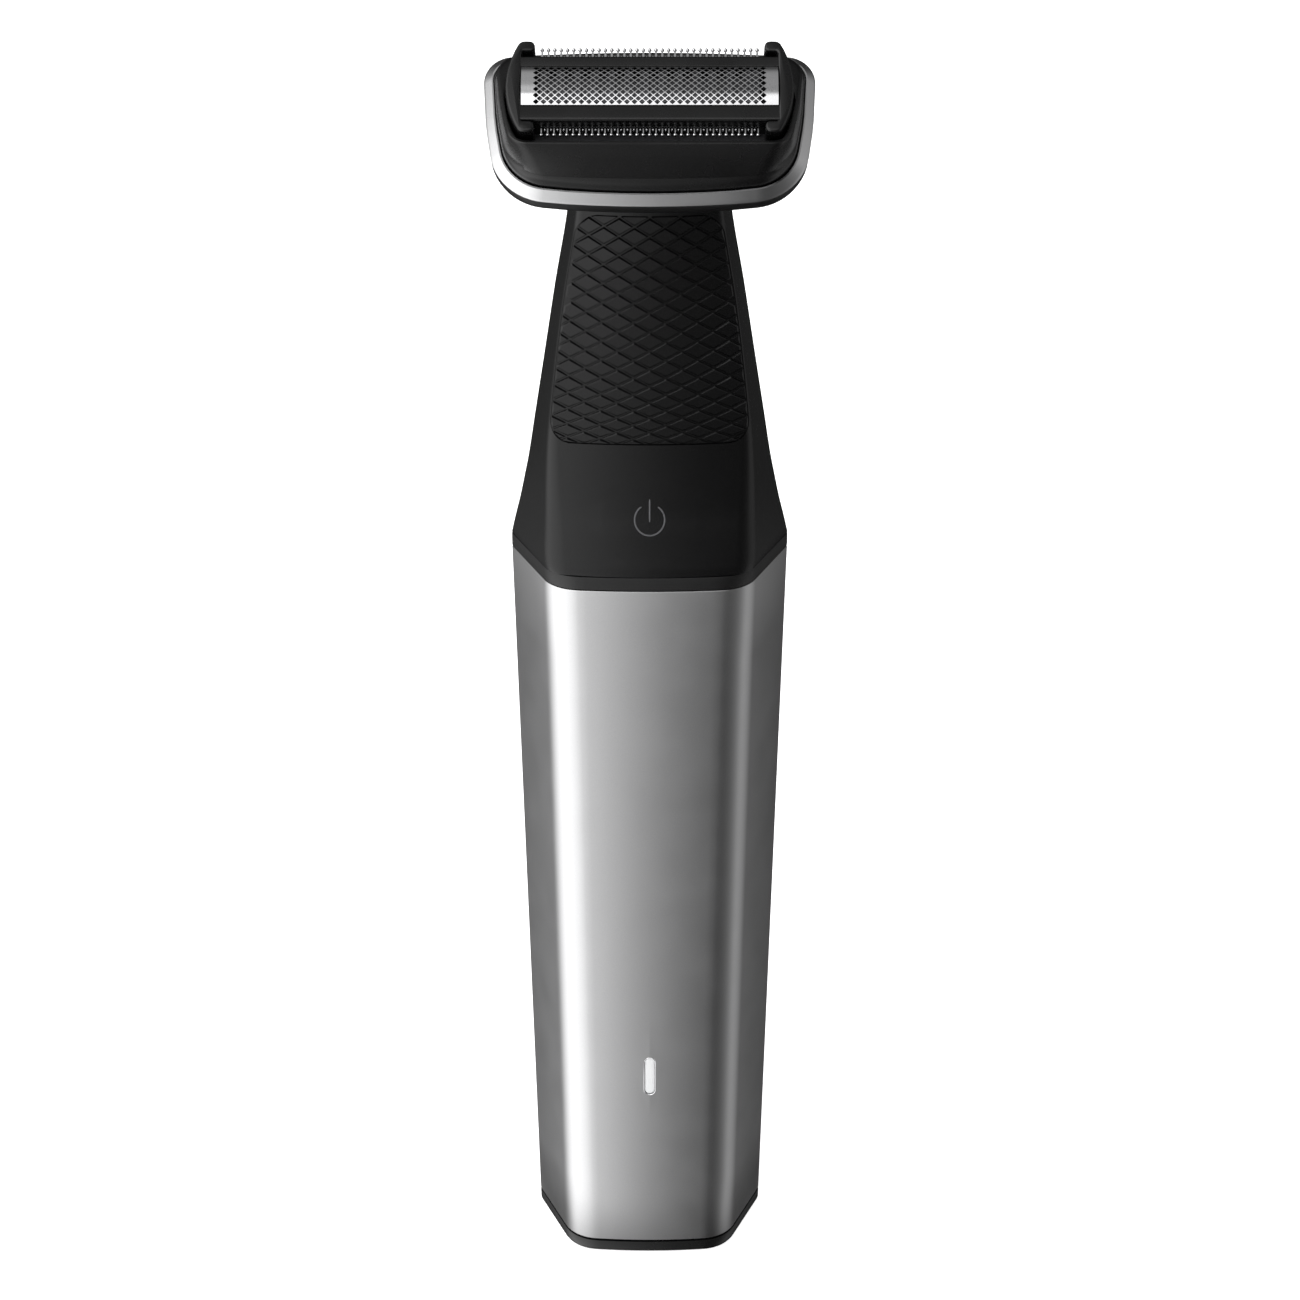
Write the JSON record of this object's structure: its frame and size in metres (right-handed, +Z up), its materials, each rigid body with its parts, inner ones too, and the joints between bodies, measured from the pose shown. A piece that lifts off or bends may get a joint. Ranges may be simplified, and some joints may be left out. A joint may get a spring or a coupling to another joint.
{
  "type": "body groomer",
  "caption": "Upright cordless body groomer with a silver hexagonal handle, soft black neck and grip pad, and a tilted pivoting foil head with trimmer combs.",
  "frame": {"origin": "centre of the flat underside of the base", "axes": "+Z up the handle towards the head, -Y out of the front face with the button and light, +X to the right seen from the front"},
  "size_m": [0.0444, 0.0304, 0.1958],
  "materials": {
    "sleeve_silver": "satin silver metallic lacquer",
    "trim_silver": "satin silver metallic",
    "steel": "bright stainless steel",
    "black_plastic": "fine matte black",
    "gloss_black_plastic": "satin black",
    "black_rubber": "soft-touch matte",
    "lens": "clear white light guide",
    "board": "circuit board laminate",
    "cell_wrap": "printed-free cell sleeve",
    "grey_plastic": "glass-filled grey",
    "nickel": "nickel plate",
    "brass": "turned brass"
  },
  "bodies": {
    "handle": {"body_sleeve": "sleeve_silver", "head_trim_ring": "trim_silver", "base_cap": "gloss_black_plastic", "base_seal": "black_rubber", "charge_socket": "black_plastic", "socket_contact_left": "brass", "socket_contact_right": "brass", "status_lens": "lens", "light_pipe": "lens", "status_led": "lens", "collar_ring": "black_plastic", "neck_front_cover": "black_plastic", "neck_rear_cover": "black_plastic", "grip_pad": "black_rubber", "neck_gasket": "black_rubber", "tact_switch": "nickel", "chassis": "grey_plastic", "battery_cell_left": "cell_wrap", "battery_cell_right": "cell_wrap", "battery_tab_left": "nickel", "battery_tab_right": "nickel", "battery_link": "nickel", "circuit_board": "board", "motor_can": "steel", "motor_end_cap": "grey_plastic", "motor_bracket": "grey_plastic", "motor_screw_left": "nickel", "motor_screw_right": "nickel", "bridge_guide_left": "nickel", "bridge_guide_right": "nickel", "head_lower_shell": "black_plastic", "head_upper_shell": "gloss_black_plastic", "pivot_bracket": "grey_plastic", "drive_boot": "black_rubber"},
    "power_button": {"power_button": "black_rubber"},
    "motor_rotor": {"motor_shaft": "steel", "eccentric_cam": "brass"},
    "drive_bridge": {"drive_bridge": "grey_plastic", "drive_lever": "grey_plastic"},
    "shaver_carrier": {"shaver_carrier": "grey_plastic", "pivot_pin_left": "nickel", "pivot_pin_right": "nickel"},
    "cassette": {"cassette_frame": "gloss_black_plastic", "end_cap_left": "gloss_black_plastic", "end_cap_right": "gloss_black_plastic", "foil_bar_front": "gloss_black_plastic", "foil_bar_rear": "gloss_black_plastic", "front_trimmer_comb": "steel", "rear_trimmer_comb": "steel", "foil": "steel"},
    "inner_cutter": {"inner_cutter": "steel"},
    "front_trimmer_blade": {"front_trimmer_blade": "steel"},
    "rear_trimmer_blade": {"rear_trimmer_blade": "steel"}
  },
  "joints": [
    {"name": "button_press", "type": "slide", "parent": "handle", "child": "power_button", "axis": [0, 0.9511, -0.309], "range_m": [0, 0.0007], "stiffness_N_per_m": 1200},
    {"name": "rotor_spin", "type": "hinge", "parent": "handle", "child": "motor_rotor", "pos_m": [0, 0.001, 0.163], "axis": [0, 0, 1], "continuous": true},
    {"name": "bridge_slide", "type": "slide", "parent": "handle", "child": "drive_bridge", "axis": [1, 0, 0], "range_m": [-0.001, 0.001], "stiffness_N_per_m": 200},
    {"name": "head_pivot", "type": "hinge", "parent": "handle", "child": "shaver_carrier", "pos_m": [0, -0.00557, 0.18697], "axis": [1, 0, 0], "range_deg": [-6, 6], "stiffness_Nm_per_rad": 0.05},
    {"name": "cassette_lift", "type": "slide", "parent": "shaver_carrier", "child": "cassette", "axis": [0, -0.7071, 0.7071], "range_m": [0, 0.022]},
    {"name": "cutter_slide", "type": "slide", "parent": "cassette", "child": "inner_cutter", "axis": [1, 0, 0], "range_m": [-0.001, 0.001]},
    {"name": "front_blade_slide", "type": "slide", "parent": "cassette", "child": "front_trimmer_blade", "axis": [1, 0, 0], "range_m": [-0.001, 0.001]},
    {"name": "rear_blade_slide", "type": "slide", "parent": "cassette", "child": "rear_trimmer_blade", "axis": [1, 0, 0], "range_m": [-0.001, 0.001]}
  ],
  "couplings": [
    {"joint": "cutter_slide", "follows": "bridge_slide", "ratio": 1},
    {"joint": "front_blade_slide", "follows": "bridge_slide", "ratio": 1},
    {"joint": "rear_blade_slide", "follows": "bridge_slide", "ratio": 1}
  ]
}
